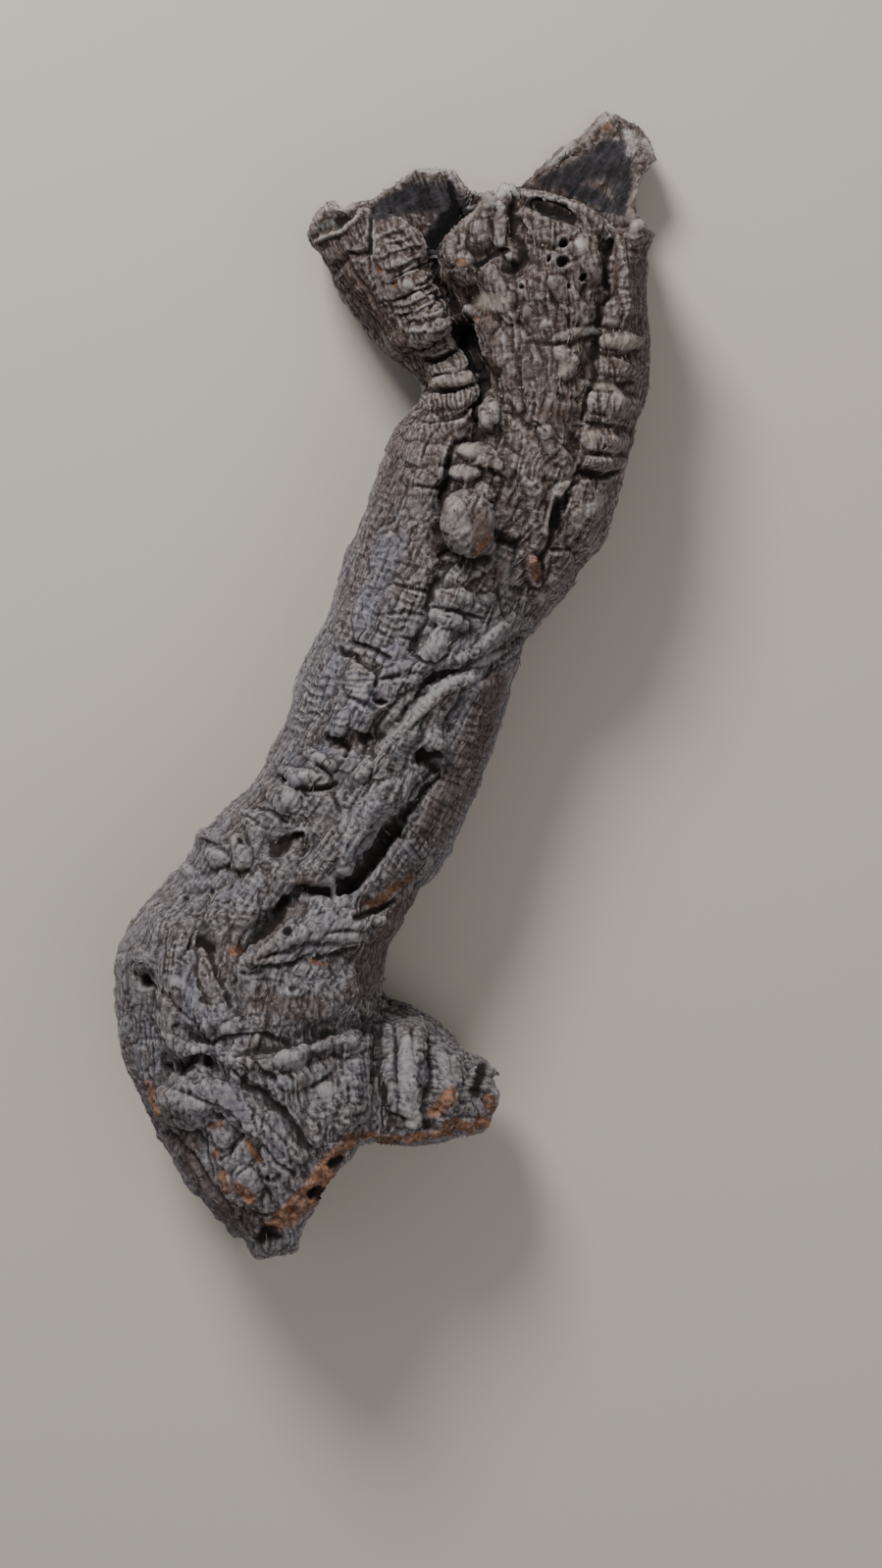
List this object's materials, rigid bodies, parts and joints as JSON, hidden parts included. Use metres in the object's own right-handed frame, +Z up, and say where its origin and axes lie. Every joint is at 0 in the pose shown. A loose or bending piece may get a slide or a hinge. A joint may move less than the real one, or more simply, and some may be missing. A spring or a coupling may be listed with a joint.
{
  "type": "hollow cork bark branch",
  "caption": "Forked hollow branch of raw cork bark that lies on its back, open at both ends, for a terrarium, display or planter.",
  "frame": {"origin": "bottom centre of the branch's bounding box, on the surface that it lies on", "axes": "+X to the right across the branch, +Y along it from its foot to its forked top, +Z up through its front"},
  "size_m": [0.2805, 0.6082, 0.1261],
  "materials": {
    "grey_cork_bark": "dry weathered matte bark",
    "brown_cork_bark": "dry weathered matte bark"
  },
  "bodies": {
    "root": {"stem": "grey_cork_bark", "upper_left_limb": "brown_cork_bark", "upper_right_limb": "brown_cork_bark", "lower_left_limb": "grey_cork_bark", "lower_right_spur": "grey_cork_bark"}
  },
  "joints": []
}
